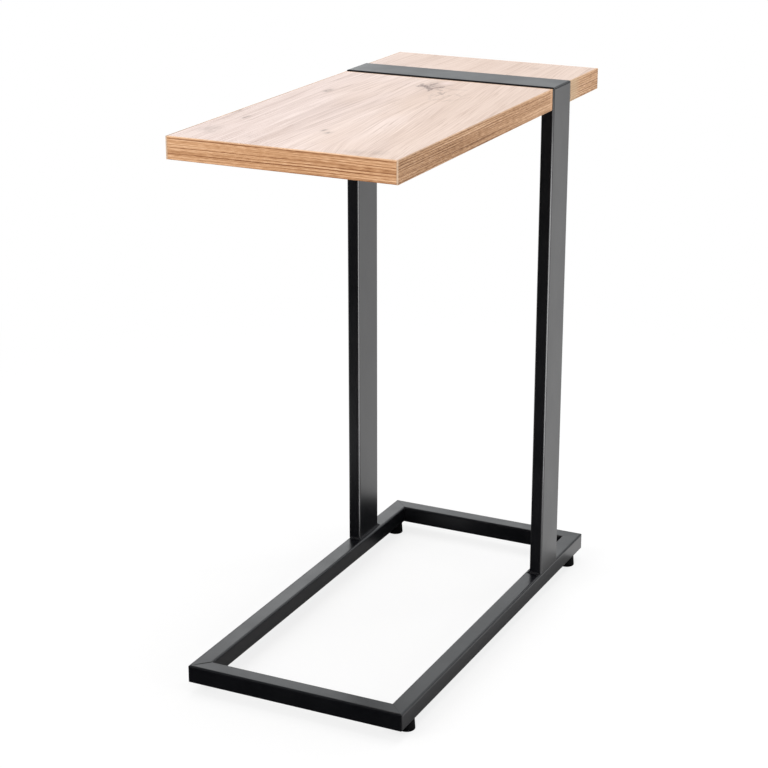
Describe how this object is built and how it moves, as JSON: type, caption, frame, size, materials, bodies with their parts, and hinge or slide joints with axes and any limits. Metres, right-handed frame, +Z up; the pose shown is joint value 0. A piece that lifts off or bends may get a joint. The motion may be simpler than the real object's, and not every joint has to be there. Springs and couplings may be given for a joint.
{
  "type": "side table",
  "caption": "C-shaped side table: a pale oak-look top split by a flat black steel cross tube, on uprights near its rear end and a rectangular floor ring with feet.",
  "frame": {"origin": "on the floor, under the middle of the boards", "axes": "+Z up, +Y from the overhanging front edge to the rear edge with the uprights, +X to the right"},
  "size_m": [0.252, 0.528, 0.6072],
  "materials": {
    "black_powder_coat": "satin powder coat",
    "oak_top_skin": "matte, pale oak, grain along Y",
    "oak_edge_band": "matte, oak edge band",
    "particle_board": "raw",
    "balancing_skin": "matte",
    "zinc_steel": "zinc plated",
    "foot_plastic": "matte moulded"
  },
  "bodies": {
    "table": {"base_front_tube": "black_powder_coat", "base_left_tube": "black_powder_coat", "base_rear_tube": "black_powder_coat", "base_right_tube": "black_powder_coat", "carrier_left": "black_powder_coat", "carrier_right": "black_powder_coat", "cross_tube": "black_powder_coat", "foot_inserts": "zinc_steel", "front_panel_band_front": "oak_edge_band", "front_panel_band_left": "oak_edge_band", "front_panel_band_rear": "oak_edge_band", "front_panel_band_right": "oak_edge_band", "front_panel_bottom_skin": "balancing_skin", "front_panel_core": "particle_board", "front_panel_screws": "zinc_steel", "front_panel_top_skin": "oak_top_skin", "rear_panel_band_front": "oak_edge_band", "rear_panel_band_left": "oak_edge_band", "rear_panel_band_rear": "oak_edge_band", "rear_panel_band_right": "oak_edge_band", "rear_panel_bottom_skin": "balancing_skin", "rear_panel_core": "particle_board", "rear_panel_screws": "zinc_steel", "rear_panel_top_skin": "oak_top_skin", "upright_left": "black_powder_coat", "upright_right": "black_powder_coat", "weld_left": "black_powder_coat", "weld_right": "black_powder_coat"},
    "foot_front_left_body": {"foot_front_left": "foot_plastic", "foot_stud_front_left": "zinc_steel"},
    "foot_front_right_body": {"foot_front_right": "foot_plastic", "foot_stud_front_right": "zinc_steel"},
    "foot_rear_left_body": {"foot_rear_left": "foot_plastic", "foot_stud_rear_left": "zinc_steel"},
    "foot_rear_right_body": {"foot_rear_right": "foot_plastic", "foot_stud_rear_right": "zinc_steel"}
  },
  "joints": [
    {"name": "foot_front_left_levelling", "type": "slide", "parent": "table", "child": "foot_front_left_body", "axis": [0, 0, -1], "range_m": [0, 0.008]},
    {"name": "foot_front_right_levelling", "type": "slide", "parent": "table", "child": "foot_front_right_body", "axis": [0, 0, -1], "range_m": [0, 0.008]},
    {"name": "foot_rear_left_levelling", "type": "slide", "parent": "table", "child": "foot_rear_left_body", "axis": [0, 0, -1], "range_m": [0, 0.008]},
    {"name": "foot_rear_right_levelling", "type": "slide", "parent": "table", "child": "foot_rear_right_body", "axis": [0, 0, -1], "range_m": [0, 0.008]}
  ]
}
